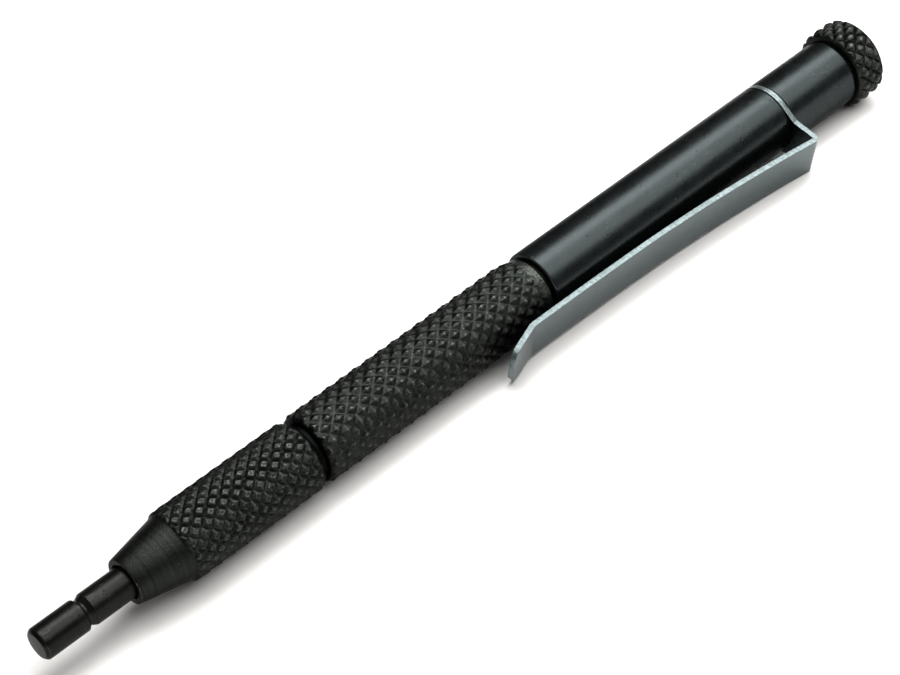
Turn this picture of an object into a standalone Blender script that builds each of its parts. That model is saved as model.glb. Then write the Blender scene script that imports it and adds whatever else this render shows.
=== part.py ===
"""Pocket scriber with a reversible blade, a collet chuck and a spring pocket clip.

The tool lies on its side on the surface Z = 0, with its axis along X and the nose towards -X. The
origin is under the middle of its bounding box. It rests on the knob and on the clip's lower corner.

Stations are places along the axis in millimetres: 0 is the front of the barrel, + is towards the knob.
"""
import bpy
import bmesh
from math import asin, atan2, cos, hypot, pi, radians, sin
from mathutils import Matrix, Vector

MM = 0.001
FACETS = 48                     # sides of a turned piece

# Outside radii
BARREL_R = 4.0
KNURL_R = 4.12                  # over the knurl's crests
NECK_R = 3.55
NOSE_R = 2.6
CONE_R = 3.72                   # rear end of the nut's smooth cone
BLADE_R = 1.8
KNOB_R = 4.86

# Stations, from the nose to the knob
BUTT = -67.7                    # blunt end of the stowed blade
BUTT_GROOVE = -62.5
NOSE = -56.8
CONE_END = -50.9
NUT_REAR = -33.55
GRIP_FRONT = -32.95
GRIP_KNURL_END = -2.25
NECK_START = -1.65
BARREL_FRONT = -0.4
BARREL_REAR = 36.7
SLEEVE_REAR = 48.0
KNOB_REAR = 52.2

# Clearances
RUN_GAP = 0.05                  # radial, between pieces that turn or slide on each other
FACE_GAP = 0.05                 # axial, between faces that meet
FLOOR_GAP = 0.01                # under the clip's lower corner

# Inside
SPIGOT_FRONT = -48.7            # front end of the grip's threaded spigot
THREAD_R = 3.0                  # chuck thread, M6 x 0.75
THREAD_END = -42.4
PILOT_R = 3.2                   # plain pilot behind the chuck thread, and the rear spigot
REAR_SPIGOT_END = 7.0
COLLET_HEAD_R = 2.75
COLLET_TIP_R = 2.2
COLLET_TAIL_R = 2.4
COLLET_FRONT = -54.5
COLLET_TAPER_END = -52.5
COLLET_REAR = -36.0
SLIT_END = -40.0
SLIT_WIDTH = 0.5
SLITS = 3
BLADE_BORE_R = 1.95
BLADE_TAPER_START = 2.3
BLADE_END = 9.5
BLADE_END_R = 1.1
POINT_TIP = 14.3
POINT_R = 0.8
POINT_CONE_START = 10.5
POINT_SEAT = 6.0
STUD_R = 2.5                    # the knob's stud, M5 x 0.8
STUD_FRONT = 28.0

# Clip: one strip, bent, with its leg square to the axis
SHEET = 0.62
CLIP_HALF_WIDTH = 2.55
RING_HOLE_R = 2.6
LEG_STATION = BARREL_REAR + FACE_GAP + SHEET / 2
SPLIT_RADIUS = 6.2              # distance from the axis at which the arm meets the leg
SPLIT_GAP = 0.1
LEG_TOP = 0.335                 # straight stretch above the split
BEND_R = 0.45                   # on the middle of the sheet, as all the lengths that follow
ARM_SLOPE_REAR = 7.35           # degrees by which the arm leans towards the barrel at the bend
ARM_SLOPE_FRONT = 1.15
ARM_CURVE = 27.1
ARM_STRAIGHT = 14.8
TIP_BEND = 0.7
TIP_FLARE = 19.0                # degrees away from the barrel
TIP_LENGTH = 4.3
TIP_CORNER_R = 1.5

# The clip turns down until its lower corner meets the surface that the knob lies on
CORNER_RADIUS = SPLIT_RADIUS + SPLIT_GAP / 2 + LEG_TOP + BEND_R + SHEET / 2
CORNER_REACH = hypot(CORNER_RADIUS, CLIP_HALF_WIDTH)
CLIP_ANGLE = asin((KNOB_R - FLOOR_GAP) / CORNER_REACH) - atan2(CLIP_HALF_WIDTH, CORNER_RADIUS)
CLIP_SIDE = CORNER_RADIUS * cos(CLIP_ANGLE) + CLIP_HALF_WIDTH * sin(CLIP_ANGLE)

# Where the tool's axis and station 0 lie in the part's frame
AXIS_PLACE = (-(BUTT + KNOB_REAR) / 2 * MM, (CLIP_SIDE - KNOB_R) / 2 * MM, KNOB_R * MM)

BLACK_OXIDE = ((0.020, 0.021, 0.021), 0.38, 0.9)
SPRING_STEEL = ((0.30, 0.30, 0.30), 0.35, 1.0)
ZINC_PLATE = ((0.62, 0.65, 0.66), 0.33, 1.0)
CARBIDE = ((0.24, 0.24, 0.25), 0.30, 1.0)


def clear_scene():
    for thing in list(bpy.data.objects):
        bpy.data.objects.remove(thing)


def new_collection(name):
    group = bpy.data.collections.new(name)
    bpy.context.scene.collection.children.link(group)
    return group


def place_on_axis():
    """The empty that holds the whole tool: its X axis is the tool's axis."""
    empty = bpy.data.objects.new("tool_axis", None)
    empty.location = AXIS_PLACE
    PARTS.objects.link(empty)
    return empty


def finish_material(thing, finish):
    color, roughness, metallic = finish
    material = bpy.data.materials.new(thing.name + "_finish")
    material.use_nodes = True
    shader = material.node_tree.nodes["Principled BSDF"]
    shader.inputs["Base Color"].default_value = (*color, 1.0)
    shader.inputs["Roughness"].default_value = roughness
    shader.inputs["Metallic"].default_value = metallic
    material.diffuse_color = (*color, 1.0)
    thing.data.materials.append(material)


def turned(name, outside, bore, finish, origin):
    """A turned piece. Points are (radius, station): outside runs from rear to front, bore back again."""
    profile = outside + bore
    mesh = bpy.data.meshes.new(name)
    rings = [(radius * MM, 0.0, (station - origin) * MM) for radius, station in profile]
    sides = [(i, i + 1) for i in range(len(rings) - 1)]
    if bore:
        sides.append((len(rings) - 1, 0))
    mesh.from_pydata(rings, sides, [])
    thing = bpy.data.objects.new(name, mesh)
    PARTS.objects.link(thing)
    thing.parent = AXIS
    thing.location = (origin * MM, 0.0, 0.0)
    thing.rotation_euler = (0.0, pi / 2, 0.0)
    screw = thing.modifiers.new("turn", "SCREW")
    screw.axis = "Z"
    screw.angle = 2 * pi
    screw.steps = FACETS
    screw.render_steps = FACETS
    screw.use_merge_vertices = True
    screw.merge_threshold = 0.000001
    screw.use_smooth_shade = True
    finish_material(thing, finish)
    return thing


def scriber_blade():
    """Round blade: blunt end with a ring groove, and a taper down to the brazed point."""
    outside = [
        (BLADE_END_R, BLADE_END),
        (BLADE_R, BLADE_TAPER_START),
        (BLADE_R, BUTT_GROOVE + 1.1),
        (BLADE_R - 0.32, BUTT_GROOVE + 0.5),
        (BLADE_R - 0.32, BUTT_GROOVE + 0.35),
        (BLADE_R, BUTT_GROOVE),
        (BLADE_R, BUTT + 0.3),
        (BLADE_R - 0.3, BUTT),
        (0.0, BUTT),
    ]
    seat = POINT_R + 0.03
    socket = [(0.0, POINT_SEAT - 0.1), (seat, POINT_SEAT - 0.1), (seat, BLADE_END)]
    return turned("scriber_blade", socket + outside, [], BLACK_OXIDE, BUTT)


def carbide_point():
    outside = [
        (0.0, POINT_TIP),
        (0.08, POINT_TIP - 0.1),
        (POINT_R, POINT_CONE_START),
        (POINT_R, POINT_SEAT),
        (0.0, POINT_SEAT),
    ]
    return turned("carbide_point", outside, [], CARBIDE, POINT_SEAT)


def collet():
    """Spring collet: a split sleeve whose head closes on the blade in the nut's cone."""
    shoulder = SPIGOT_FRONT - FACE_GAP
    outside = [
        (COLLET_TAIL_R, COLLET_REAR),
        (COLLET_TAIL_R, shoulder),
        (COLLET_HEAD_R, shoulder),
        (COLLET_HEAD_R, COLLET_TAPER_END),
        (COLLET_TIP_R, COLLET_FRONT),
    ]
    grip_r = BLADE_R + RUN_GAP
    bore = [(grip_r, COLLET_FRONT), (grip_r, COLLET_REAR)]
    thing = turned("collet", outside, bore, SPRING_STEEL, COLLET_REAR)
    for i in range(SLITS):
        cut = thing.modifiers.new("slit", "BOOLEAN")
        cut.operation = "DIFFERENCE"
        cut.object = slit_cutter(i)
    return thing


def slit_cutter(index):
    """A thin plate from the axis outwards, at one of the collet's slits."""
    reach = COLLET_HEAD_R + 1.0
    front = COLLET_FRONT - 1.0
    length = SLIT_END - front
    mesh = bpy.data.meshes.new("slit")
    plate = bmesh.new()
    size = Matrix.Diagonal((length * MM, SLIT_WIDTH * MM, reach * MM, 1.0))
    middle = Matrix.Translation(((front + length / 2) * MM, 0.0, reach / 2 * MM))
    bmesh.ops.create_cube(plate, size=1.0, matrix=middle @ size)
    plate.to_mesh(mesh)
    plate.free()
    cutter = bpy.data.objects.new(f"slit_cutter_{index + 1}", mesh)
    CUTTERS.objects.link(cutter)
    cutter.parent = AXIS
    cutter.rotation_euler = (2 * pi * (index + 0.5) / SLITS, 0.0, 0.0)
    cutter.hide_render = True
    cutter.display_type = "WIRE"
    return cutter


def chuck_nut():
    """Knurled nut with a conical nose. Its inner cone closes the collet."""
    outside = [
        (KNURL_R - 0.37, NUT_REAR),
        (KNURL_R, NUT_REAR - 0.65),
        (KNURL_R, CONE_END + 0.45),
        (CONE_R, CONE_END),
        (NOSE_R, NOSE),
    ]
    slope = (COLLET_HEAD_R - COLLET_TIP_R) / (COLLET_TAPER_END - COLLET_FRONT)
    head_bore_r = COLLET_HEAD_R + 0.06
    nose_bore_r = BLADE_R + 0.2
    cone_front = COLLET_TAPER_END - (head_bore_r - nose_bore_r) / slope
    thread_r = THREAD_R + RUN_GAP
    pilot_r = PILOT_R + RUN_GAP
    bore = [
        (nose_bore_r, NOSE),
        (nose_bore_r, cone_front),
        (head_bore_r, COLLET_TAPER_END),
        (head_bore_r, SPIGOT_FRONT - 0.5),
        (thread_r, SPIGOT_FRONT - 0.5),
        (thread_r, THREAD_END - 0.1),
        (pilot_r, THREAD_END - 0.1),
        (pilot_r, NUT_REAR),
    ]
    return turned("chuck_nut", outside, bore, BLACK_OXIDE, NUT_REAR)


def grip_body():
    """Knurled grip with a threaded spigot for the nut and a plain spigot for the barrel."""
    outside = [
        (PILOT_R, REAR_SPIGOT_END),
        (PILOT_R, BARREL_FRONT - FACE_GAP),
        (NECK_R, BARREL_FRONT - FACE_GAP),
        (NECK_R, NECK_START),
        (KNURL_R, GRIP_KNURL_END),
        (KNURL_R, GRIP_FRONT + 0.45),
        (KNURL_R - 0.4, GRIP_FRONT),
        (PILOT_R, GRIP_FRONT),
        (PILOT_R, THREAD_END),
        (THREAD_R, THREAD_END - 0.05),
        (THREAD_R, SPIGOT_FRONT + 0.3),
        (THREAD_R - 0.3, SPIGOT_FRONT),
    ]
    collet_bore_r = COLLET_TAIL_R + RUN_GAP
    collet_bore_end = COLLET_REAR + 0.2
    bore = [
        (collet_bore_r, SPIGOT_FRONT),
        (collet_bore_r, collet_bore_end),
        (BLADE_BORE_R, collet_bore_end),
        (BLADE_BORE_R, REAR_SPIGOT_END),
    ]
    return turned("grip_body", outside, bore, BLACK_OXIDE, GRIP_FRONT)


def barrel():
    """Smooth tube, bored at the front for the grip's spigot and tapped behind for the stud."""
    outside = [
        (BARREL_R - 0.3, BARREL_REAR),
        (BARREL_R, BARREL_REAR - 0.35),
        (BARREL_R, BARREL_FRONT + 0.3),
        (BARREL_R - 0.09, BARREL_FRONT + 0.09),
        (BARREL_R - 0.3, BARREL_FRONT),
    ]
    spigot_bore_r = PILOT_R + RUN_GAP
    stud_bore_r = STUD_R + RUN_GAP
    bore = [
        (spigot_bore_r, BARREL_FRONT),
        (spigot_bore_r, REAR_SPIGOT_END + 0.3),
        (stud_bore_r, REAR_SPIGOT_END + 0.3),
        (stud_bore_r, BARREL_REAR),
    ]
    return turned("barrel", outside, bore, BLACK_OXIDE, 0.0)


def end_sleeve():
    front = BARREL_REAR + 2 * FACE_GAP + SHEET
    edge = 0.15
    outside = [
        (BARREL_R - edge, SLEEVE_REAR),
        (BARREL_R, SLEEVE_REAR - edge),
        (BARREL_R, front + edge),
        (BARREL_R - edge, front),
    ]
    bore = [(STUD_R + RUN_GAP, front), (STUD_R + RUN_GAP, SLEEVE_REAR)]
    return turned("end_sleeve", outside, bore, BLACK_OXIDE, front)


def knob_screw():
    """Knurled knob with the stud that holds the sleeve and the clip's ring to the barrel."""
    front = SLEEVE_REAR + FACE_GAP
    outside = [
        (0.0, KNOB_REAR),
        (KNOB_R - 0.66, KNOB_REAR),
        (KNOB_R, KNOB_REAR - 0.65),
        (KNOB_R, front + 0.4),
        (KNOB_R - 0.35, front),
        (STUD_R, front),
        (STUD_R, STUD_FRONT + 0.3),
        (STUD_R - 0.3, STUD_FRONT),
        (0.0, STUD_FRONT),
    ]
    return turned("knob_screw", outside, [], BLACK_OXIDE, front)


def clip_frame():
    """The clip's own frame: X points from the axis along the leg, Z runs along the tool."""
    outward = Vector((0.0, -cos(CLIP_ANGLE), -sin(CLIP_ANGLE)))
    along = Vector((1.0, 0.0, 0.0))
    across = along.cross(outward)
    frame = bpy.data.objects.new("clip_frame", None)
    frame.rotation_euler = Matrix((outward, across, along)).transposed().to_euler()
    frame.parent = AXIS
    PARTS.objects.link(frame)
    return frame


def clip_ring(frame):
    """Ring held between barrel and sleeve, with the leg that stands out from it."""
    start = asin(CLIP_HALF_WIDTH / BARREL_R)
    turn = 2 * pi - 2 * start
    arc_points = FACETS - 8
    outline = []
    for i in range(arc_points + 1):
        angle = start + turn * i / arc_points
        outline.append((BARREL_R * cos(angle), BARREL_R * sin(angle)))
    leg_end = SPLIT_RADIUS - SPLIT_GAP / 2
    outline.append((leg_end, -CLIP_HALF_WIDTH))
    outline.append((leg_end, CLIP_HALF_WIDTH))
    hole = []
    for i in range(FACETS):
        angle = 2 * pi * i / FACETS
        hole.append((RING_HOLE_R * cos(angle), RING_HOLE_R * sin(angle)))
    flat = bpy.data.curves.new("clip_ring", "CURVE")
    flat.dimensions = "2D"
    flat.fill_mode = "BOTH"
    flat.extrude = SHEET / 2 * MM
    for loop in (outline, hole):
        spline = flat.splines.new("POLY")
        spline.points.add(len(loop) - 1)
        for point, (x, y) in zip(spline.points, loop):
            point.co = (x * MM, y * MM, 0.0, 1.0)
        spline.use_cyclic_u = True
    thing = bpy.data.objects.new("clip_ring", flat)
    PARTS.objects.link(thing)
    thing.parent = frame
    thing.location = (0.0, 0.0, LEG_STATION * MM)
    finish_material(thing, ZINC_PLATE)
    return thing


def clip_path():
    """Points along the middle of the arm's sheet: (distance from axis, station, half width)."""
    lean = ARM_SLOPE_REAR - ARM_SLOPE_FRONT
    flare = ARM_SLOPE_FRONT + TIP_FLARE
    bend = 90.0 + ARM_SLOPE_REAR
    # length, degrees turned (towards the nose is +) and steps of each stretch
    stretches = [
        (LEG_TOP, 0.0, 1),
        (BEND_R * radians(bend), bend, 8),
        (ARM_CURVE, -lean, 14),
        (ARM_STRAIGHT, 0.0, 4),
        (TIP_BEND, -flare, 4),
        (TIP_LENGTH - TIP_CORNER_R, 0.0, 2),
    ]
    radius = SPLIT_RADIUS + SPLIT_GAP / 2
    station = LEG_STATION
    heading = 0.0
    path = [(radius, station, CLIP_HALF_WIDTH)]

    def advance(length, turn):
        nonlocal radius, station, heading
        heading += turn / 2
        radius += length * cos(radians(heading))
        station -= length * sin(radians(heading))
        heading += turn / 2

    for length, turn, steps in stretches:
        for _ in range(steps):
            advance(length / steps, turn / steps)
            path.append((radius, station, CLIP_HALF_WIDTH))
    corner_steps = 6
    before = 0.0
    for i in range(1, corner_steps + 1):
        angle = pi / 2 * i / corner_steps
        advance(TIP_CORNER_R * (sin(angle) - before), 0.0)
        before = sin(angle)
        path.append((radius, station, CLIP_HALF_WIDTH - TIP_CORNER_R * (1 - cos(angle))))
    return path


def clip_arm(frame):
    """Spring arm of the clip: bend, long arm and flared tip, from one flat strip."""
    path = clip_path()
    across = 4
    mesh = bpy.data.meshes.new("clip_arm")
    strip = bmesh.new()
    bmesh.ops.create_grid(strip, x_segments=len(path) - 1, y_segments=across, size=1.0)
    for vertex in strip.verts:
        step = round((vertex.co.x + 1) / 2 * (len(path) - 1))
        radius, station, half_width = path[step]
        side = vertex.co.y * half_width
        vertex.co = ((radius - SPLIT_RADIUS) * MM, side * MM, (station - LEG_STATION) * MM)
    strip.to_mesh(mesh)
    strip.free()
    mesh.shade_smooth()
    thing = bpy.data.objects.new("clip_arm", mesh)
    PARTS.objects.link(thing)
    thing.parent = frame
    thing.location = (SPLIT_RADIUS * MM, 0.0, LEG_STATION * MM)
    sheet = thing.modifiers.new("sheet", "SOLIDIFY")
    sheet.thickness = SHEET * MM
    sheet.offset = 0.0
    sheet.use_even_offset = True
    finish_material(thing, ZINC_PLATE)
    return thing


clear_scene()
PARTS = new_collection("pocket_scriber")
CUTTERS = new_collection("cutters")
AXIS = place_on_axis()
scriber_blade()
carbide_point()
collet()
chuck_nut()
grip_body()
barrel()
end_sleeve()
knob_screw()
CLIP = clip_frame()
clip_ring(CLIP)
clip_arm(CLIP)
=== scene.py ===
"""The looks of the pocket scriber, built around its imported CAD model.

Every piece of the tool is made again here with its knurls, threads, rounded edges and finish, at the
places and sizes of the CAD nodes. Lengths are in millimetres along and around the tool's axis until
a mesh is made. Stations run along the axis: 0 is just behind the barrel's front, + is towards the knob.
"""

from collections import namedtuple
from math import acos, asin, atan2, cos, hypot, pi, radians, sin, tan

import bmesh
import bpy
import numpy as np
from mathutils import Matrix, Vector


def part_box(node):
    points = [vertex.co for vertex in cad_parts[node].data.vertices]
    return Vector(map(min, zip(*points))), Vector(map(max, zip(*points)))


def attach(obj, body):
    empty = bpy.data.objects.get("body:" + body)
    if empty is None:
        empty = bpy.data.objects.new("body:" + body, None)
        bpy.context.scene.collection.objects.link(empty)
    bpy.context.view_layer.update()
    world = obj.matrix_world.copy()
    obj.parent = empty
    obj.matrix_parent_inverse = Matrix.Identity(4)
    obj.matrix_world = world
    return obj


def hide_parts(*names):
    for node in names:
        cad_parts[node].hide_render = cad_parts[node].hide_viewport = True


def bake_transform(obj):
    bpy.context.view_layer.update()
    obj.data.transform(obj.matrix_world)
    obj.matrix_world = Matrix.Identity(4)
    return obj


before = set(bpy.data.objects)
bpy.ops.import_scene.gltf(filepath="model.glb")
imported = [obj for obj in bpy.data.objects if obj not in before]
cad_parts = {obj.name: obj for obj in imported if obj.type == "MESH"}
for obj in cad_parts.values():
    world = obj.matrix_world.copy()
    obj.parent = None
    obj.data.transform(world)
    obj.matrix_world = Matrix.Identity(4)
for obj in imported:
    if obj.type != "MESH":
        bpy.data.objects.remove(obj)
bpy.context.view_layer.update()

MM = 0.001
SAME_POINT = 0.0005 * MM        # points closer than this are joined
TUBE_SEGMENTS = 128             # sides of the smooth tubes
ROD_SEGMENTS = 96               # sides of the blade and the collet
POINT_SEGMENTS = 64
AXIS_MARK = -0.4                # station of the barrel's front face


# ---------------------------------------------------------------- places, from the CAD nodes

def axis_from(node):
    low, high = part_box(node)
    return Vector((low.x / MM - AXIS_MARK, (low.y + high.y) / 2 / MM, (low.z + high.z) / 2 / MM)) * MM


AXIS = axis_from("barrel")


def span(node):
    """First and last station and outside radius of a CAD node, in millimetres."""
    low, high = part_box(node)
    return (low.x - AXIS.x) / MM, (high.x - AXIS.x) / MM, (high.z - AXIS.z) / MM


NOSE, NUT_REAR, KNURL_R = span("chuck_nut")
SPIGOT_FRONT, SPIGOT_REAR, _ = span("grip_body")
BARREL_FRONT, BARREL_REAR, BARREL_R = span("barrel")
SLEEVE_FRONT, SLEEVE_REAR, _ = span("end_sleeve")
STUD_FRONT, KNOB_REAR, KNOB_R = span("knob_screw")
BUTT, BLADE_END, BLADE_R = span("scriber_blade")
POINT_SEAT, POINT_TIP, POINT_R = span("carbide_point")
COLLET_FRONT, COLLET_REAR, COLLET_HEAD_R = span("collet")

# Places inside a node, which its box doesn't give
NOSE_R = 2.6
NOSE_BORE_R = 2.0
CONE_R = 3.72
CONE_END = NOSE + 5.9
GRIP_FRONT = NUT_REAR + 0.6
GRIP_KNURL_END = -2.25
NECK_START = -1.65
NECK_R = 3.55
NECK_END = -0.95
PILOT_R = 3.2
THREAD_R = 3.0                  # chuck thread, M6 x 0.75
THREAD_PITCH = 0.75
THREAD_END = -42.4
BLADE_BORE_R = 1.95
BLADE_BORE_MIDDLE = -20.0
COLLET_TAIL_R = 2.4
COLLET_TIP_R = 2.2
COLLET_TAPER_END = COLLET_FRONT + 2.0
COLLET_SLITS = 3
BUTT_GROOVE = BUTT + 5.2
BLADE_TAPER_START = 2.3
BLADE_END_R = 1.1
POINT_CONE_START = 10.5
STUD_R = 2.5                    # knob's stud, M5 x 0.8
STUD_PITCH = 0.8
STUD_BORE_START = 7.3
KNOB_FRONT = SLEEVE_REAR + 0.05
RUN_GAP = 0.05

# Knurl: a diamond roller's grooves, so many starts each way round the piece.
#   pitch            spacing of the grooves along the axis
#   crest, depth     radius over the diamonds, and depth of the grooves below it
#   flank            how far from a groove's middle its slope ends, as a share of the grooves' spacing
#   pillow           0 for flat flanks, up to 1 for diamonds rounded off like cushions
#   dimple           how deep the diamonds' tops are hollowed, as a share of the depth
#   ridge            height of the thin ridge along the grooves' middle
#   turned, shifted  place of the pattern, in turns round the axis and as a station
#   cells            cells of the mesh in half a groove's spacing
Knurl = namedtuple("Knurl", "starts pitch crest depth flank pillow dimple ridge turned shifted cells")


# ---------------------------------------------------------------- meshes of turned pieces

# A ring of points round the axis. radius and worn may be arrays, with a value for each segment. worn is
# wear on edges and crests, a darker colour in grooves when low, and painted shade deep in gaps when
# negative. row is the ring's number in a knurl's grid, or None.
Ring = namedtuple("Ring", "station radius worn row")


def corner_arc(before, corner, after, radius, steps):
    """Points of the arc that rounds a corner of an outline."""
    b, c, a = Vector(before), Vector(corner), Vector(after)
    into = (b - c).normalized()
    out = (a - c).normalized()
    angle = into.angle(out)
    reach = min(radius / tan(angle / 2), (b - c).length * 0.49, (a - c).length * 0.49)
    center = c + (into + out).normalized() * (reach / cos(angle / 2))
    start = c + into * reach - center
    end = c + out * reach - center
    turn = start.angle(end)
    points = []
    for i in range(steps + 1):
        share = i / steps
        weight_start = sin((1 - share) * turn) / sin(turn)
        weight_end = sin(share * turn) / sin(turn)
        points.append(center + start * weight_start + end * weight_end)
    return points


def outline_rings(points, steps=4, worn=0.0):
    """Rings through an outline of (radius, station) points. A third number rounds that corner."""
    rings = []
    for i, point in enumerate(points):
        radius, station = point[0], point[1]
        if len(point) == 2:
            rings.append(Ring(station, radius, worn, None))
            continue
        after = points[(i + 1) % len(points)]
        arc = corner_arc(points[i - 1][:2], point[:2], after[:2], point[2], steps)
        for at, spot in enumerate(arc):
            rings.append(Ring(spot.y, spot.x, worn + (1.0 - worn) * sin(pi * at / steps), None))
    return rings


def flank_rise(share):
    """Height of a diamond's flank: flat out of the groove, a little rounded over at the crest."""
    share = np.clip(share, 0.0, 1.0)
    return 1.1 * share - 0.1 * share ** 4


def knurl_surface(knurl, station, turns):
    """Radius and height share (0 in a groove, 1 on a crest) of a knurl at one station."""
    along = (station - knurl.shifted) / knurl.pitch
    around = knurl.starts * (turns - knurl.turned)
    first = around + along
    second = around - along
    first_groove = np.abs(first - np.round(first))
    second_groove = np.abs(second - np.round(second))
    inside = np.minimum(first_groove, second_groove)
    rise = flank_rise(inside / knurl.flank)
    cushion = np.sqrt(np.sin(pi * first_groove) * np.sin(pi * second_groove))
    rise = rise + (cushion - rise) * knurl.pillow
    top = np.clip((inside - knurl.flank * 0.8) / (0.5 - knurl.flank * 0.8), 0.0, 1.0)
    # each diamond came out of the roller a little different
    column = np.mod(np.floor(first) + np.floor(second), 2 * knurl.starts)
    rank = np.floor(first) - np.floor(second)
    chance = np.mod(np.sin(column * 12.9898 + rank * 78.233) * 43758.5453, 1.0)
    height = rise * (0.88 + 0.12 * chance) - knurl.dimple * top * (0.4 + 0.6 * chance)
    # the roller leaves a thin ridge along the middle of its grooves, stronger one way round
    track = np.clip(1.0 - 12.0 * first_groove, 0.0, 1.0)
    faint_track = 0.5 * np.clip(1.0 - 12.0 * second_groove, 0.0, 1.0)
    track = np.maximum(track, faint_track)
    radius = knurl.crest - knurl.depth + knurl.depth * height + knurl.ridge * track
    return radius, np.maximum(height, 0.8 * track)


def knurled_rings(knurl, start, end, outline):
    """Rings of a knurled stretch. The lathe leaves only what is inside the outline.

    The outline is a list of (radius, station, worn) points; a negative last value paints shade deep in a
    gap.
    """
    stations = [point[1] for point in outline]
    limits = [point[0] for point in outline]
    outline_wear_and_shade = [point[2] for point in outline]
    segments = 2 * knurl.cells * knurl.starts
    turns = np.arange(segments) / segments
    step = knurl.pitch / (2 * knurl.cells)
    first = int(np.ceil((start - knurl.shifted) / step + 0.2))
    last = int(np.floor((end - knurl.shifted) / step - 0.2))
    places = [(start, None)]
    places += [(knurl.shifted + row * step, row) for row in range(first, last + 1)]
    places.append((end, None))
    rings = []
    for station, row in places:
        radius, height = knurl_surface(knurl, station, turns + knurl.turned)
        limit = np.interp(station, stations, limits)
        worn = np.where(radius < limit, height, np.interp(station, stations, outline_wear_and_shade))
        rings.append(Ring(station, np.minimum(radius, limit), worn, row))
    return rings


def threaded_rings(radius, pitch, start, end, segments, turned=0.0, rows=8):
    """Rings of a right-hand screw thread with its crests at radius. They also suit a tapped hole."""
    turns = np.arange(segments) / segments + turned
    depth = 0.56 * pitch
    count = round((end - start) / pitch * rows)
    rings = []
    for i in range(count + 1):
        station = start + (end - start) * i / count
        phase = station / pitch - turns
        away = np.abs(phase - np.round(phase))
        fade = min(1.0, (station - start) / pitch, (end - station) / pitch)
        cut = np.clip((away - 0.07) / 0.36, 0.0, 1.0)
        rings.append(Ring(station, radius - depth * fade * cut, 0.5 * (1 - cut), None))
    return rings


def quads_between(count, segments, closed):
    rows = np.arange(count if closed else count - 1)
    i, j = np.meshgrid(rows, np.arange(segments), indexing="ij")
    after_i = (i + 1) % count
    after_j = (j + 1) % segments
    this_ring = i * segments
    next_ring = after_i * segments
    corners = [this_ring + j, this_ring + after_j, next_ring + after_j, next_ring + j]
    return np.stack(corners, -1)


def split_faces(quads, rings, cells):
    """Quads, cut in two along the knurl's grooves where a groove crosses them."""
    faces = []
    period = 2 * cells
    columns = np.arange(quads.shape[1])
    for k, strip in enumerate(quads):
        row = rings[k].row
        following = rings[(k + 1) % len(rings)].row
        if row is None or following is None or abs(following - row) != 1:
            faces += strip.tolist()
            continue
        lower = min(row, following)
        rising = np.mod(columns - lower, period) == 0
        falling = np.mod(columns + 1 + lower, period) == 0
        if following < row:
            rising, falling = falling, rising
        plain = ~(rising | falling)
        faces += strip[plain].tolist()
        faces += strip[rising][:, [0, 1, 2]].tolist()
        faces += strip[rising][:, [0, 2, 3]].tolist()
        faces += strip[falling][:, [0, 1, 3]].tolist()
        faces += strip[falling][:, [1, 2, 3]].tolist()
    return faces


def skin(name, rings, segments=TUBE_SEGMENTS, closed=False, cells=1, turned=0.0):
    """Object whose mesh runs through the rings. A ring of radius 0 becomes a single point."""
    angles = 2 * pi * (np.arange(segments) / segments + turned)
    points = np.empty((len(rings), segments, 3))
    worn = np.empty((len(rings), segments))
    for i, ring in enumerate(rings):
        points[i, :, 0] = ring.station
        points[i, :, 1] = ring.radius * np.cos(angles)
        points[i, :, 2] = ring.radius * np.sin(angles)
        worn[i] = ring.worn
    points = points * MM + np.array(AXIS)
    faces = split_faces(quads_between(len(rings), segments, closed), rings, cells)
    mesh = bpy.data.meshes.new(name)
    mesh.from_pydata(points.reshape(-1, 3).tolist(), [], faces)
    layer = mesh.attributes.new("worn", "FLOAT", "POINT")
    layer.data.foreach_set("value", worn.ravel())
    return finished(name, mesh)


def placed(name, data):
    """New object in the scene, with this mesh, light or camera."""
    thing = bpy.data.objects.new(name, data)
    bpy.context.scene.collection.objects.link(thing)
    return thing


def finished(name, mesh, sharp=55.0):
    """Object from a mesh: doubled points joined, faces turned outwards, smooth but for its sharp edges."""
    work = bmesh.new()
    work.from_mesh(mesh)
    bmesh.ops.remove_doubles(work, verts=work.verts, dist=SAME_POINT)
    bmesh.ops.recalc_face_normals(work, faces=work.faces)
    work.to_mesh(mesh)
    work.free()
    mesh.shade_smooth()
    mesh.set_sharp_from_angle(angle=radians(sharp))
    return placed(name, mesh)


def dress(thing, body, nodes, slot, *materials):
    """Materials, body and replaced nodes of a piece; slot is not used. A piece with no body is left
    unattached.
    """
    for material in materials:
        thing.data.materials.append(material)
    if body:
        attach(thing, body)
    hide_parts(*nodes)
    return thing


# ---------------------------------------------------------------- materials

def add(tree, kind, inputs=None, **settings):
    """New node, with settings, and with inputs given as values or as sockets to link."""
    made = tree.nodes.new(kind)
    for name, value in settings.items():
        setattr(made, name, value)
    for name, value in (inputs or {}).items():
        if isinstance(value, bpy.types.NodeSocket):
            tree.links.new(value, made.inputs[name])
        else:
            made.inputs[name].default_value = value
    return made


def new_material(name):
    material = bpy.data.materials.new(name)
    material.use_nodes = True
    tree = material.node_tree
    shader = tree.nodes["Principled BSDF"]
    return material, tree, shader


def millimetres(tree, scale=(1.0, 1.0, 1.0)):
    """Object coordinates in millimetres, stretched by scale."""
    place = add(tree, "ShaderNodeTexCoord").outputs["Object"]
    factor = tuple(s / MM for s in scale)
    return add(tree, "ShaderNodeVectorMath", {0: place, 1: factor}, operation="MULTIPLY").outputs[0]


def noise(tree, place, scale, detail=3.0, roughness=0.5):
    inputs = {"Vector": place, "Scale": scale, "Detail": detail, "Roughness": roughness}
    return add(tree, "ShaderNodeTexNoise", inputs).outputs["Fac"]


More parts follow.
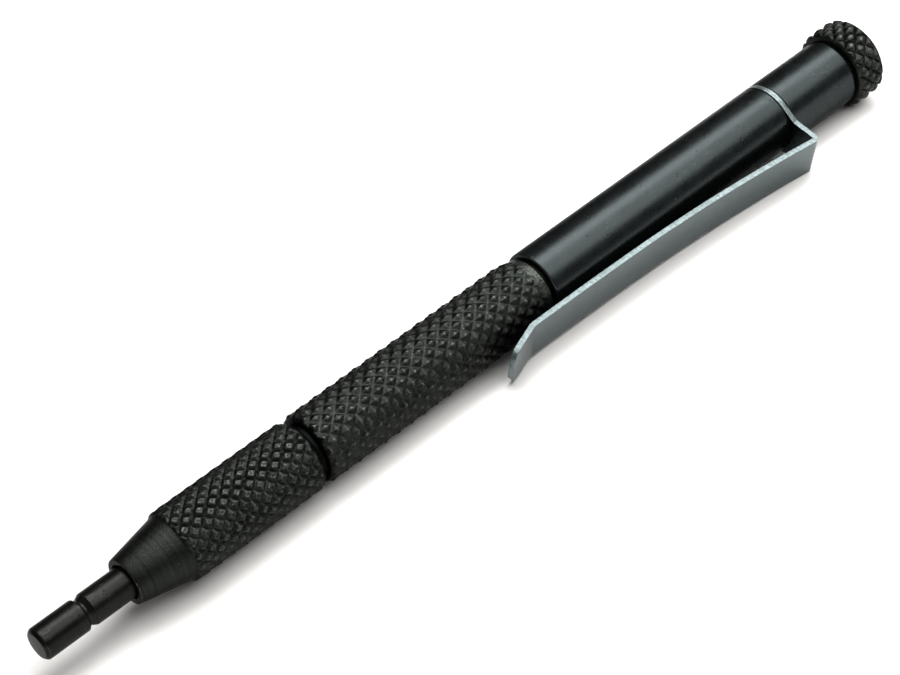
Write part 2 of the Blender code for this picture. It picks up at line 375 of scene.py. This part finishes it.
def remap(tree, value, low, high, to_low=0.0, to_high=1.0, smooth=False):
    inputs = {"Value": value, "From Min": low, "From Max": high, "To Min": to_low, "To Max": to_high}
    kind = "SMOOTHSTEP" if smooth else "LINEAR"
    return add(tree, "ShaderNodeMapRange", inputs, interpolation_type=kind).outputs["Result"]


def calculate(tree, operation, first, second=0.0, clamp=False):
    made = add(tree, "ShaderNodeMath", {0: first, 1: second}, operation=operation, use_clamp=clamp)
    return made.outputs[0]


def shade(color, factor):
    return tuple(part * factor for part in color)


def blend_colors(tree, share, first, second):
    inputs = {"Factor": share, "A": (*first, 1.0) if isinstance(first, tuple) else first}
    inputs["B"] = (*second, 1.0) if isinstance(second, tuple) else second
    made = tree.nodes.new("ShaderNodeMix")
    made.data_type = "RGBA"
    sockets = {"Factor": made.inputs[0], "A": made.inputs[6], "B": made.inputs[7]}
    for name, value in inputs.items():
        if isinstance(value, bpy.types.NodeSocket):
            tree.links.new(value, sockets[name])
        else:
            sockets[name].default_value = value
    return made.outputs[2]


def bump(tree, height, distance, strength=1.0, onto=None):
    inputs = {"Height": height, "Distance": distance * MM, "Strength": strength}
    if onto is not None:
        inputs["Normal"] = onto
    return add(tree, "ShaderNodeBump", inputs).outputs["Normal"]


def black_oxide(name, color, edge_color, groove_color, roughness, rim, marks, scuffs, grit):
    """Blackened steel: lathe marks, fine grain, small pits, scuffs, oxide thinned on the edges, colour
    darker in grooves, and shade painted deep in gaps.

    rim is how much of the reflection stays at grazing angles, and grit how coarse the surface is.
    """
    material, tree, shader = new_material(name)
    place = millimetres(tree)
    grain = noise(tree, place, 9.0, 4.0, 0.6)
    cloud = noise(tree, place, 0.45, 3.0, 0.55)
    lathe = noise(tree, millimetres(tree, (1.0, 0.02, 0.02)), 2.6, 5.0, 0.65)
    spots = add(tree, "ShaderNodeTexVoronoi", {"Vector": place, "Scale": 1.15, "Randomness": 1.0})
    pit_here = remap(tree, spots.outputs["Distance"], 0.08, 0.19, 1.0, 0.0)
    rare = remap(tree, noise(tree, place, 0.8, 1.0), 0.52, 0.58)
    pits = calculate(tree, "MULTIPLY", pit_here, rare)
    scratch_place = millimetres(tree, (0.5, 2.6, 2.6))
    scratch = remap(tree, noise(tree, scratch_place, 2.4, 5.0, 0.7), 0.56, 0.68)
    scuff_zone = remap(tree, noise(tree, place, 0.36, 2.0), 0.46, 0.60)
    scuff = calculate(tree, "MULTIPLY", scratch, scuff_zone)
    scuff = calculate(tree, "MULTIPLY", scuff, scuffs)
    worn = add(tree, "ShaderNodeAttribute", attribute_name="worn").outputs["Fac"]
    dents = noise(tree, place, 4.6, 4.0, 0.6)
    chipped = calculate(tree, "MULTIPLY", calculate(tree, "SUBTRACT", dents, 0.5), 1.8 * grit)
    uneven = calculate(tree, "ADD", worn, calculate(tree, "MULTIPLY", grain, 0.35))
    edge = remap(tree, calculate(tree, "ADD", uneven, chipped), 0.92, 1.30)
    # colour turns darker towards the bottom of grooves, hollows and thread roots
    hollow = remap(tree, worn, 0.02, 0.45, 1.0, 0.0)
    turned_band = calculate(tree, "MULTIPLY", remap(tree, lathe, 0.38, 0.62, -1.0, 1.0), marks)
    streaks = calculate(tree, "ADD", cloud, turned_band)
    mottled = blend_colors(tree, streaks, shade(color, 0.72), shade(color, 1.28))
    darker_in_grooves = blend_colors(tree, calculate(tree, "MULTIPLY", hollow, 0.6), mottled, groove_color)
    edged = blend_colors(tree, edge, darker_in_grooves, edge_color)
    scuffed = blend_colors(tree, scuff, edged, edge_color)
    bright_pit = remap(tree, noise(tree, place, 2.1, 1.0), 0.58, 0.62)
    pit_color = blend_colors(tree, bright_pit, shade(color, 0.3), edge_color)
    pitted = blend_colors(tree, calculate(tree, "MULTIPLY", pits, 0.8), scuffed, pit_color)
    # painted shade: surfaces deep in a gap are darkened towards a quarter of the colour
    deep = remap(tree, worn, -0.9, -0.1, 1.0, 0.0)
    gap_shaded = blend_colors(tree, deep, pitted, shade(color, 0.25))
    tree.links.new(gap_shaded, shader.inputs["Base Color"])
    shine = calculate(tree, "ADD", remap(tree, grain, 0.3, 0.7, -0.05, 0.05), roughness)
    shine = calculate(tree, "ADD", shine, remap(tree, cloud, 0.3, 0.7, -0.03, 0.04))
    shine = calculate(tree, "ADD", shine, calculate(tree, "MULTIPLY", scuff, 0.15))
    shine = calculate(tree, "SUBTRACT", shine, calculate(tree, "MULTIPLY", chipped, 0.12))
    tree.links.new(shine, shader.inputs["Roughness"])
    relief = bump(tree, lathe, 0.012, marks)
    relief = bump(tree, dents, 0.08 * max(grit, 0.6), grit, relief)
    relief = bump(tree, grain, 0.0022, 0.7, relief)
    relief = bump(tree, calculate(tree, "MULTIPLY", pits, -1.0), 0.02, 0.6, relief)
    tree.links.new(relief, shader.inputs["Normal"])
    shader.inputs["Metallic"].default_value = 0.95
    shader.inputs["Specular Tint"].default_value = (rim, rim, rim, 1.0)
    return material


def zinc_plate(name, color, roughness, sheared):
    """Bright zinc on spring strip. Its cut edges are rougher, with the marks of the shear across them."""
    material, tree, shader = new_material(name)
    place = millimetres(tree)
    grain = noise(tree, place, 7.0, 5.0, 0.65)
    rolled = noise(tree, millimetres(tree, (0.12, 4.0, 4.0)), 3.0, 4.0, 0.6)
    if sheared:
        shear = noise(tree, millimetres(tree, (3.5, 1.6, 1.6)), 1.0, 5.0, 0.75)
        streak = remap(tree, shear, 0.36, 0.64)
        mottled = blend_colors(tree, streak, shade(color, 0.62), shade(color, 1.3))
    else:
        cloud = noise(tree, place, 0.25, 3.0, 0.5)
        mottled = blend_colors(tree, cloud, shade(color, 0.86), shade(color, 1.08))
    first_speck = 0.60 if sheared else 0.69
    specks = remap(tree, noise(tree, place, 3.4, 2.0, 0.5), first_speck, first_speck + 0.09)
    dullness = calculate(tree, "MULTIPLY", specks, 0.6)
    dulled = blend_colors(tree, dullness, mottled, shade(color, 0.45))
    tree.links.new(dulled, shader.inputs["Base Color"])
    shine = calculate(tree, "ADD", remap(tree, grain, 0.3, 0.7, -0.06, 0.08), roughness)
    tree.links.new(shine, shader.inputs["Roughness"])
    relief = bump(tree, rolled, 0.003, 0.5)
    relief = bump(tree, grain, 0.003, 0.6, relief)
    if sheared:
        relief = bump(tree, shear, 0.09, 1.0, relief)
    tree.links.new(relief, shader.inputs["Normal"])
    shader.inputs["Metallic"].default_value = 1.0
    return material


def ground_metal(name, color, roughness, marks):
    """Bare metal with the fine rings of a grinder or lathe."""
    material, tree, shader = new_material(name)
    place = millimetres(tree)
    rings = noise(tree, millimetres(tree, (1.0, 0.03, 0.03)), 9.0, 4.0, 0.65)
    grain = noise(tree, place, 12.0, 4.0, 0.6)
    cloud = noise(tree, place, 0.6, 3.0, 0.5)
    mottled = blend_colors(tree, cloud, shade(color, 0.8), shade(color, 1.15))
    tree.links.new(mottled, shader.inputs["Base Color"])
    shine = calculate(tree, "ADD", remap(tree, grain, 0.3, 0.7, -0.05, 0.07), roughness)
    tree.links.new(shine, shader.inputs["Roughness"])
    relief = bump(tree, rings, 0.004, marks)
    relief = bump(tree, grain, 0.002, 0.5, relief)
    tree.links.new(relief, shader.inputs["Normal"])
    shader.inputs["Metallic"].default_value = 1.0
    return material


SMOOTH_BLACK = black_oxide(
    "black_oxide_smooth", color=(0.0258, 0.0303, 0.0306), edge_color=(0.090, 0.100, 0.098),
    groove_color=(0.0258, 0.0303, 0.0306), roughness=0.29, rim=0.45, marks=0.08, scuffs=0.3, grit=0.14)
TURNED_BLACK = black_oxide(
    "black_oxide_turned", color=(0.0132, 0.0138, 0.0126), edge_color=(0.060, 0.062, 0.057),
    groove_color=(0.0132, 0.0138, 0.0126), roughness=0.34, rim=0.7, marks=0.35, scuffs=0.9, grit=0.1)
KNURLED_BLACK = black_oxide(
    "black_oxide_knurled", color=(0.0158, 0.0176, 0.0158), edge_color=(0.085, 0.092, 0.082),
    groove_color=(0.0112, 0.0119, 0.0100), roughness=0.34, rim=0.5, marks=0.55, scuffs=0.3, grit=0.85)
ZINC_FACE = zinc_plate("zinc_plate", (0.081, 0.104, 0.107), 0.30, sheared=False)
ZINC_EDGE = zinc_plate("zinc_cut_edge", (0.136, 0.166, 0.168), 0.30, sheared=True)
SPRING_STEEL = ground_metal("spring_steel", (0.30, 0.295, 0.28), 0.32, 0.7)
CARBIDE = ground_metal("carbide", (0.20, 0.20, 0.21), 0.26, 0.8)


# ---------------------------------------------------------------- pieces

GRIP_KNURL = Knurl(starts=16, pitch=1.81, crest=KNURL_R, depth=0.32, flank=0.46, pillow=0.0, dimple=0.0,
                   ridge=0.03, turned=0.0037, shifted=-29.66, cells=6)
NUT_KNURL = Knurl(starts=16, pitch=1.68, crest=KNURL_R, depth=0.32, flank=0.33, pillow=0.0, dimple=0.45,
                  ridge=0.03, turned=0.0077, shifted=-45.05, cells=6)
KNOB_KNURL = Knurl(starts=16, pitch=1.72, crest=KNOB_R, depth=0.44, flank=0.46, pillow=0.8, dimple=0.0,
                   ridge=0.0, turned=0.0019, shifted=49.12, cells=5)
GAP_SHADE = -1.0                     # value for surfaces deep in a gap, which the material darkens to paint the shade there


def scriber_blade():
    """Round blade: blunt end with a ring groove, and a taper down to the brazed point."""
    groove_r = BLADE_R - 0.32
    socket_r = POINT_R + 0.03
    rings = outline_rings([
        (0.0, BUTT),
        (BLADE_R - 0.34, BUTT, 0.25),
        (BLADE_R, BUTT + 0.34, 0.35),
        (BLADE_R, BUTT_GROOVE, 0.06),
        (groove_r, BUTT_GROOVE + 0.35, 0.12),
        (groove_r, BUTT_GROOVE + 0.5, 0.12),
        (BLADE_R, BUTT_GROOVE + 1.1, 0.15),
        (BLADE_R, BLADE_TAPER_START, 1.5),
        (BLADE_END_R, BLADE_END, 0.06),
        (socket_r, BLADE_END, 0.02),
        (socket_r, POINT_SEAT - 0.1),
        (0.0, POINT_SEAT - 0.1),
    ])
    thing = skin("blade", rings, ROD_SEGMENTS)
    return dress(thing, "blade", ["scriber_blade"], "blade_black_oxide", TURNED_BLACK)


def carbide_point():
    rings = outline_rings([
        (0.0, POINT_TIP),
        (0.08, POINT_TIP - 0.1, 0.06),
        (POINT_R, POINT_CONE_START, 0.3),
        (POINT_R, POINT_SEAT, 0.05),
        (0.0, POINT_SEAT),
    ])
    thing = skin("point", rings, POINT_SEGMENTS)
    return dress(thing, "blade", ["carbide_point"], "carbide", CARBIDE)


def slit_plate(index, count):
    """Thin plate from the axis outwards, at one of the collet's slits."""
    slit_end = COLLET_REAR - 4.0
    front = COLLET_FRONT - 1.0
    reach = COLLET_HEAD_R + 1.0
    size = Matrix.Diagonal(((slit_end - front) * MM, 0.5 * MM, reach * MM, 1.0))
    middle = Matrix.Translation(((front + slit_end) / 2 * MM, 0.0, reach / 2 * MM))
    spin = Matrix.Rotation(2 * pi * (index + 0.5) / count, 4, "X")
    mesh = bpy.data.meshes.new("slit")
    work = bmesh.new()
    bmesh.ops.create_cube(work, size=1.0, matrix=Matrix.Translation(AXIS) @ spin @ middle @ size)
    work.to_mesh(mesh)
    work.free()
    return placed("slit", mesh)


def apply_modifiers(thing):
    """Replaces an object's mesh with its evaluated one."""
    graph = bpy.context.evaluated_depsgraph_get()
    mesh = bpy.data.meshes.new_from_object(thing.evaluated_get(graph))
    thing.modifiers.clear()
    thing.data = mesh


def collet():
    """Spring collet, split in three at its head."""
    bore_r = BLADE_R + RUN_GAP
    shoulder = SPIGOT_FRONT - 0.05
    rings = outline_rings([
        (bore_r, COLLET_FRONT + 8.0),
        (bore_r, COLLET_REAR, 0.08),
        (COLLET_TAIL_R, COLLET_REAR, 0.1),
        (COLLET_TAIL_R, shoulder, 0.05),
        (COLLET_HEAD_R, shoulder, 0.1),
        (COLLET_HEAD_R, COLLET_TAPER_END, 0.2),
        (COLLET_TIP_R, COLLET_FRONT, 0.08),
        (bore_r, COLLET_FRONT, 0.05),
    ], 3)
    thing = skin("split_collet", rings, ROD_SEGMENTS, closed=True)
    plates = [slit_plate(i, COLLET_SLITS) for i in range(COLLET_SLITS)]
    for plate in plates:
        cut = thing.modifiers.new("slit", "BOOLEAN")
        cut.operation = "DIFFERENCE"
        cut.object = plate
    apply_modifiers(thing)
    for plate in plates:
        bpy.data.objects.remove(plate)
    thing.data.set_sharp_from_angle(angle=radians(40))
    return dress(thing, "collet", ["collet"], "spring_steel", SPRING_STEEL)


def chuck_nut():
    """Knurled nut with a conical nose and a tapped bore."""
    cells = NUT_KNURL.cells
    segments = 2 * cells * NUT_KNURL.starts
    smooth_start = CONE_END - 0.6
    cone_slope = (CONE_R - NOSE_R) / (CONE_END - NOSE)
    # the knurl's last points, at the rear, are painted with the shade of the gap to the grip
    limit = [
        (CONE_R - 0.6 * cone_slope, smooth_start, 0.5),
        (CONE_R, CONE_END, 0.5),
        (KNURL_R + 0.01, CONE_END + 0.5, 0.3),
        (KNURL_R + 0.01, NUT_REAR - 0.75, 0.3),
        (KNURL_R - 0.08, NUT_REAR - 0.60, GAP_SHADE),
        (KNURL_R - 0.55, NUT_REAR, GAP_SHADE),
    ]
    slope = (COLLET_HEAD_R - COLLET_TIP_R) / (COLLET_TAPER_END - COLLET_FRONT)
    head_r = COLLET_HEAD_R + 0.06
    cone_front = COLLET_TAPER_END - (head_r - NOSE_BORE_R) / slope
    head_end = SPIGOT_FRONT - 0.5
    thread_r = THREAD_R + RUN_GAP
    thread_rear = THREAD_END - 0.1
    front = outline_rings([
        (head_r, COLLET_TAPER_END + 1.0),
        (head_r, COLLET_TAPER_END),
        (NOSE_BORE_R, cone_front, 0.1),
        (NOSE_BORE_R, NOSE, 0.12),
        (NOSE_R, NOSE, 0.16),
        (CONE_R - 0.9 * cone_slope, smooth_start - 0.3),
    ], worn=0.5)
    knurled = knurled_rings(NUT_KNURL, smooth_start, NUT_REAR, limit)
    # painted shade on the rear face and the bore, deep in the gap to the grip
    rear = outline_rings([
        (KNURL_R - 0.60, NUT_REAR),
        (PILOT_R + RUN_GAP, NUT_REAR),
        (PILOT_R + RUN_GAP, thread_rear),
    ], worn=GAP_SHADE)
    thread = threaded_rings(thread_r, THREAD_PITCH, head_end, thread_rear, segments, NUT_KNURL.turned)
    end = [Ring(head_end, head_r, 0.0, None)]
    rings = front + knurled + rear + thread[::-1] + end
    thing = skin("knurled_nut", rings, segments, closed=True, cells=cells, turned=NUT_KNURL.turned)
    return dress(thing, "nut", ["chuck_nut"], "black_oxide_knurled", KNURLED_BLACK)


def grip_body():
    """Knurled grip with a threaded spigot for the nut and a plain spigot for the barrel."""
    cells = GRIP_KNURL.cells
    segments = 2 * cells * GRIP_KNURL.starts
    neck_face = BARREL_FRONT - 0.05
    # the knurl's first points are painted with the shade of the gap to the nut
    limit = [
        (KNURL_R - 0.50, GRIP_FRONT, GAP_SHADE),
        (KNURL_R - 0.08, GRIP_FRONT + 0.42, GAP_SHADE),
        (KNURL_R + 0.01, GRIP_FRONT + 0.55, 0.3),
        (KNURL_R + 0.01, GRIP_KNURL_END - 0.8, 0.8),
        (NECK_R + 0.24, NECK_START, 0.95),
        (NECK_R + 0.12, NECK_END, 0.9),
    ]
    collet_r = COLLET_TAIL_R + RUN_GAP
    collet_end = COLLET_REAR + 0.2
    front = outline_rings([
        (BLADE_BORE_R, BLADE_BORE_MIDDLE),
        (BLADE_BORE_R, collet_end),
        (collet_r, collet_end),
        (collet_r, SPIGOT_FRONT, 0.12),
        (THREAD_R - 0.4, SPIGOT_FRONT, 0.05),
    ])
    thread_start = SPIGOT_FRONT + 0.3
    thread_stop = THREAD_END - 0.05
    thread = threaded_rings(THREAD_R, THREAD_PITCH, thread_start, thread_stop, segments, GRIP_KNURL.turned)
    # painted shade on the pilot, deep in the gap to the nut
    middle = outline_rings([
        (THREAD_R, THREAD_END - 0.02),
        (PILOT_R, THREAD_END, 0.06),
        (PILOT_R, GRIP_FRONT),
        (KNURL_R - 0.55, GRIP_FRONT),
    ], worn=GAP_SHADE)
    knurled = knurled_rings(GRIP_KNURL, GRIP_FRONT, NECK_END, limit)
    # painted shade in the recess before the barrel
    recess = outline_rings([
        (NECK_R, NECK_END + 0.06),
        (NECK_R - 0.2, NECK_END + 0.12),
        (NECK_R - 0.2, neck_face),
        (PILOT_R, neck_face),
    ], worn=GAP_SHADE)
    rear = outline_rings([
        (PILOT_R, neck_face + 0.05),
        (PILOT_R, SPIGOT_REAR, 0.3),
        (BLADE_BORE_R, SPIGOT_REAR, 0.1),
    ])
    rings = front + thread + middle + knurled + recess + rear
    thing = skin("knurled_grip", rings, segments, closed=True, cells=cells, turned=GRIP_KNURL.turned)
    return dress(thing, "handle", ["grip_body"], "black_oxide_knurled", KNURLED_BLACK)


def barrel():
    """Smooth tube, bored at the front for the grip's spigot and tapped behind for the stud."""
    spigot_r = PILOT_R + RUN_GAP
    stud_r = STUD_R + RUN_GAP
    tapped_from = BARREL_REAR - 16.5
    tapped_to = BARREL_REAR - 0.5
    front = outline_rings([
        (stud_r, tapped_from - 3.0),
        (stud_r, STUD_BORE_START),
        (spigot_r, STUD_BORE_START),
        (spigot_r, BARREL_FRONT, 0.12),
        (BARREL_R, BARREL_FRONT, 0.32),
        (BARREL_R, BARREL_REAR - 0.15, 0.06),
        (BARREL_R - 0.12, BARREL_REAR, 0.05),
        (stud_r + 0.35, BARREL_REAR, 0.05),
        (stud_r, tapped_to + 0.1),
    ])
    thread = threaded_rings(stud_r, STUD_PITCH, tapped_from, tapped_to, TUBE_SEGMENTS)
    thing = skin("barrel_tube", front + thread[::-1], closed=True)
    return dress(thing, "handle", ["barrel"], "black_oxide_smooth", SMOOTH_BLACK)


def end_sleeve():
    bore_r = STUD_R + RUN_GAP
    edge = 0.15
    rings = outline_rings([
        (bore_r, (SLEEVE_FRONT + SLEEVE_REAR) / 2),
        (bore_r, SLEEVE_FRONT, 0.15),
        (BARREL_R - edge, SLEEVE_FRONT, 0.06),
        (BARREL_R, SLEEVE_FRONT + edge, 0.1),
        (BARREL_R, SLEEVE_REAR - 0.45, 0.5),
        (BARREL_R - 0.22, SLEEVE_REAR, 0.08),
        (bore_r, SLEEVE_REAR, 0.15),
    ])
    thing = skin("rear_sleeve", rings, closed=True)
    return dress(thing, "sleeve", ["end_sleeve"], "black_oxide_smooth", SMOOTH_BLACK)


def knob_screw():
    """Knurled knob with the threaded stud that holds the sleeve and the clip's ring to the barrel."""
    cells = KNOB_KNURL.cells
    segments = 2 * cells * KNOB_KNURL.starts
    limit = [
        (KNOB_R - 0.62, KNOB_FRONT, 0.1),
        (KNOB_R - 0.34, KNOB_FRONT + 0.12, 0.1),
        (KNOB_R - 0.12, KNOB_FRONT + 0.40, 0.3),
        (KNOB_R + 0.01, KNOB_FRONT + 0.75, 0.3),
        (KNOB_R + 0.01, KNOB_REAR - 0.85, 0.3),
        (KNOB_R - 0.22, KNOB_REAR - 0.40, 0.3),
        (KNOB_R - 0.70, KNOB_REAR, 0.3),
    ]
    stud_end = KNOB_FRONT - 0.6
    stud = outline_rings([
        (0.0, STUD_FRONT),
        (STUD_R - 0.45, STUD_FRONT, 0.05),
        (STUD_R - 0.1, STUD_FRONT + 0.3),
    ])
    thread = threaded_rings(STUD_R, STUD_PITCH, STUD_FRONT + 0.4, stud_end, segments, KNOB_KNURL.turned)
    neck = outline_rings([
        (STUD_R - 0.05, stud_end + 0.1),
        (STUD_R - 0.05, KNOB_FRONT, 0.1),
        (KNOB_R - 0.85, KNOB_FRONT),
    ])
    knurled = knurled_rings(KNOB_KNURL, KNOB_FRONT, KNOB_REAR, limit)
    end = outline_rings([
        (KNOB_R - 0.9, KNOB_REAR),
        (0.5, KNOB_REAR),
        (0.0, KNOB_REAR),
    ])
    rings = stud + thread + neck + knurled + end
    thing = skin("knurled_knob", rings, segments, cells=cells, turned=KNOB_KNURL.turned)
    return dress(thing, "knob", ["knob_screw"], "black_oxide_knurled", KNURLED_BLACK)


# ---------------------------------------------------------------- pocket clip

SHEET = 0.62
CLIP_HALF_WIDTH = 2.55
RING_HOLE_R = 2.6
LEG_STATION = (BARREL_REAR + SLEEVE_FRONT) / 2
SPLIT_RADIUS = 6.2
LEG_TOP = 0.385
BEND_R = 0.45
ARM_SLOPE_REAR = 7.35           # degrees by which the arm leans towards the barrel at the bend
ARM_SLOPE_FRONT = 1.15
ARM_CURVE = 27.1
ARM_FRONT = 14.8
TIP_BEND = 0.7
TIP_FLARE = 19.0
TIP_LENGTH = 4.3
TIP_CORNER_R = 1.5
LEG_GUSSET = 3.8                # distance from the axis where the ring's rim meets the leg's sides

CORNER_RADIUS = SPLIT_RADIUS + LEG_TOP + BEND_R + SHEET / 2
CORNER_REACH = hypot(CORNER_RADIUS, CLIP_HALF_WIDTH)
AXIS_HEIGHT = AXIS.z / MM
CLIP_ANGLE = asin((AXIS_HEIGHT - 0.01) / CORNER_REACH) - atan2(CLIP_HALF_WIDTH, CORNER_RADIUS)


def clip_path():
    """Points along the middle of the arm's sheet: (distance from axis, station, half width, heading)."""
    lean = ARM_SLOPE_REAR - ARM_SLOPE_FRONT
    bend = 90.0 + ARM_SLOPE_REAR
    # length, degrees turned (towards the nose is +) and steps of each stretch
    stretches = [
        (LEG_TOP, 0.0, 1),
        (BEND_R * radians(bend), bend, 14),
        (ARM_CURVE, -lean, 40),
        (ARM_FRONT, -ARM_SLOPE_FRONT, 16),
        (TIP_BEND, -TIP_FLARE, 8),
        (TIP_LENGTH - TIP_CORNER_R, 0.0, 4),
    ]
    radius = SPLIT_RADIUS
    station = LEG_STATION
    heading = 0.0
    path = [(radius, station, CLIP_HALF_WIDTH, 0.0)]

    def advance(length, turn):
        nonlocal radius, station, heading
        heading += turn / 2
        radius += length * cos(radians(heading))
        station -= length * sin(radians(heading))
        heading += turn / 2

    for length, turn, steps in stretches:
        for _ in range(steps):
            advance(length / steps, turn / steps)
            path.append((radius, station, CLIP_HALF_WIDTH, radians(heading)))
    corner_steps = 10
    before = 0.0
    for i in range(1, corner_steps + 1):
        angle = pi / 2 * i / corner_steps
        advance(TIP_CORNER_R * (sin(angle) - before), 0.0)
        before = sin(angle)
        half_width = CLIP_HALF_WIDTH - TIP_CORNER_R * (1 - cos(angle))
        path.append((radius, station, half_width, radians(heading)))
    return path


def clip_point(outward, across, station):
    """Place of a point given in the clip's own directions, in metres."""
    out = Vector((0.0, -cos(CLIP_ANGLE), -sin(CLIP_ANGLE)))
    side = Vector((1.0, 0.0, 0.0)).cross(out)
    return AXIS + (Vector((station, 0.0, 0.0)) + out * outward + side * across) * MM


def clip_sheet():
    """Middle surface of the clip: points (outward, across, station, heading) and faces of their numbers."""
    across = 12
    spokes = 96
    gusset_steps = 6
    # the rim leaves its circle along a tangent and meets the leg's side at the gusset's corner
    corner_reach = hypot(LEG_GUSSET, CLIP_HALF_WIDTH)
    rim_start = atan2(CLIP_HALF_WIDTH, LEG_GUSSET) + acos(BARREL_R / corner_reach)
    points = []
    faces = []

    def flat(outward, side):
        points.append((outward, side, LEG_STATION, 0.0))
        return len(points) - 1

    def polar(radius, angle):
        return flat(radius * cos(angle), radius * sin(angle))

    def strip(first, second):
        for i in range(len(first) - 1):
            faces.append((first[i], first[i + 1], second[i + 1], second[i]))

    # the ring away from the leg, in spokes from the hole to the rim
    angles = [rim_start + (2 * pi - 2 * rim_start) * i / spokes for i in range(spokes + 1)]
    inner = [polar(RING_HOLE_R, angle) for angle in angles]
    outer = [polar(BARREL_R, angle) for angle in angles]
    strip(inner, outer)

    # the leg's root: from the hole's edge to the gussets and the first row across the leg
    tangent_out = BARREL_R * cos(rim_start)
    tangent_side = BARREL_R * sin(rim_start)
    upper = []
    lower = []
    for i in range(1, gusset_steps):
        share = i / gusset_steps
        spot_out = tangent_out + (LEG_GUSSET - tangent_out) * share
        spot_side = tangent_side + (CLIP_HALF_WIDTH - tangent_side) * share
        upper.append(flat(spot_out, spot_side))
        lower.append(flat(spot_out, -spot_side))
    root = [flat(LEG_GUSSET, CLIP_HALF_WIDTH * (1 - 2 * j / across)) for j in range(across + 1)]
    count = across + 2 * gusset_steps
    hole = [polar(RING_HOLE_R, rim_start - 2 * rim_start * i / count) for i in range(1, count)]
    strip([inner[0]] + hole + [inner[-1]], [outer[0]] + upper + root + lower[::-1] + [outer[-1]])

    rows = [root]
    for outward, station, half_width, heading in clip_path():
        row = []
        for j in range(across + 1):
            points.append((outward, half_width * (1 - 2 * j / across), station, heading))
            row.append(len(points) - 1)
        rows.append(row)
    for first, second in zip(rows, rows[1:]):
        strip(first, second)
    return points, faces


def thick_sheet(name, points, faces):
    """Mesh of a bent sheet: its middle surface pushed out to both sides and closed by the cut edges."""
    work = bmesh.new()
    sides = []
    for side in (SHEET / 2, -SHEET / 2):
        made = []
        for outward, across, station, heading in points:
            shift_out = side * sin(heading)
            shift_along = side * cos(heading)
            made.append(work.verts.new(clip_point(outward + shift_out, across, station + shift_along)))
        sides.append(made)
    used = {}
    for face in faces:
        for i, first in enumerate(face):
            second = face[(i + 1) % len(face)]
            used.setdefault(frozenset((first, second)), []).append((first, second))
        work.faces.new([sides[0][i] for i in face])
        work.faces.new([sides[1][i] for i in reversed(face)])
    for directions in used.values():
        if len(directions) == 1:
            first, second = directions[0]
            rim = work.faces.new((sides[0][second], sides[0][first], sides[1][first], sides[1][second]))
            rim.material_index = 1
    bmesh.ops.remove_doubles(work, verts=work.verts, dist=SAME_POINT)
    bmesh.ops.recalc_face_normals(work, faces=work.faces)
    mesh = bpy.data.meshes.new(name)
    work.to_mesh(mesh)
    work.free()
    return mesh


def pocket_clip():
    """One strip: the ring with its leg, the bend, the long arm and the flared tip."""
    mesh = thick_sheet("pocket_clip", *clip_sheet())
    thing = placed("pocket_clip", mesh)
    mesh.materials.append(ZINC_FACE)
    mesh.materials.append(ZINC_EDGE)
    rounding = thing.modifiers.new("rounding", "BEVEL")
    rounding.width = 0.06 * MM
    rounding.segments = 3
    rounding.limit_method = "ANGLE"
    rounding.angle_limit = radians(50)
    rounding.use_clamp_overlap = True
    apply_modifiers(thing)
    thing.data.shade_smooth()
    thing.data.set_sharp_from_angle(angle=radians(20))
    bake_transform(thing)
    return dress(thing, None, ["clip_ring", "clip_arm"], "zinc_plate")


# ---------------------------------------------------------------- floor, light and camera

def studio_floor():
    mesh = bpy.data.meshes.new("floor")
    work = bmesh.new()
    bmesh.ops.create_grid(work, x_segments=4, y_segments=4, size=4.0)
    work.to_mesh(mesh)
    work.free()
    floor = placed("floor", mesh)
    material, _, shader = new_material("pale_floor")
    shader.inputs["Base Color"].default_value = (0.80, 0.785, 0.765, 1.0)
    shader.inputs["Roughness"].default_value = 0.9
    shader.inputs["Specular IOR Level"].default_value = 0.0
    mesh.materials.append(material)


def softbox(name, place, look_at, size, watts, color):
    data = bpy.data.lights.new(name, "AREA")
    data.shape = "RECTANGLE"
    data.size, data.size_y = size
    data.energy = watts
    data.color = color
    lamp = placed(name, data)
    lamp.location = place
    lamp.rotation_euler = (Vector(look_at) - Vector(place)).to_track_quat("-Z", "Y").to_euler()


def studio_light():
    white = (1.0, 1.0, 1.0)
    softbox("overhead", (0.16, -0.10, 0.26), (0.16, -0.10, 0.0), (0.48, 0.42), 2.46, white)
    softbox("overhead_core", (0.13, 0.02, 0.255), (0.13, 0.02, 0.0), (0.36, 0.10), 0.5, white)
    softbox("behind_knob", (0.62, 0.17, 0.21), (0.0, 0.0, 0.0), (0.30, 0.22), 1.3, white)
    world = bpy.data.worlds.new("studio")
    bpy.context.scene.world = world
    world.use_nodes = True
    background = world.node_tree.nodes["Background"]
    background.inputs["Color"].default_value = (1.0, 1.0, 1.0, 1.0)
    background.inputs["Strength"].default_value = 0.15


def camera():
    """Camera at the viewing angle of the product picture, with the tool running up to the right."""
    azimuth, elevation, roll = radians(-35.335), radians(37.58), radians(-12.43)
    place = Vector((-0.136546, -0.184464, 0.181370))
    forward = Vector((-sin(azimuth) * cos(elevation), cos(azimuth) * cos(elevation), -sin(elevation)))
    level = forward.cross(Vector((0.0, 0.0, 1.0))).normalized()
    rise = level.cross(forward)
    right = level * cos(roll) + rise * sin(roll)
    up = right.cross(forward)
    data = bpy.data.cameras.new("camera")
    data.sensor_width = 36.0
    data.lens = 109.8
    data.clip_start = 0.01
    data.clip_end = 20.0
    thing = placed("camera", data)
    turned = Matrix((right, up, -forward)).transposed()
    thing.matrix_world = Matrix.Translation(place) @ turned.to_4x4()
    bpy.context.scene.camera = thing
    bpy.context.scene.view_settings.view_transform = "Standard"


scriber_blade()
carbide_point()
collet()
chuck_nut()
grip_body()
barrel()
end_sleeve()
knob_screw()
pocket_clip()
studio_floor()
studio_light()
camera()
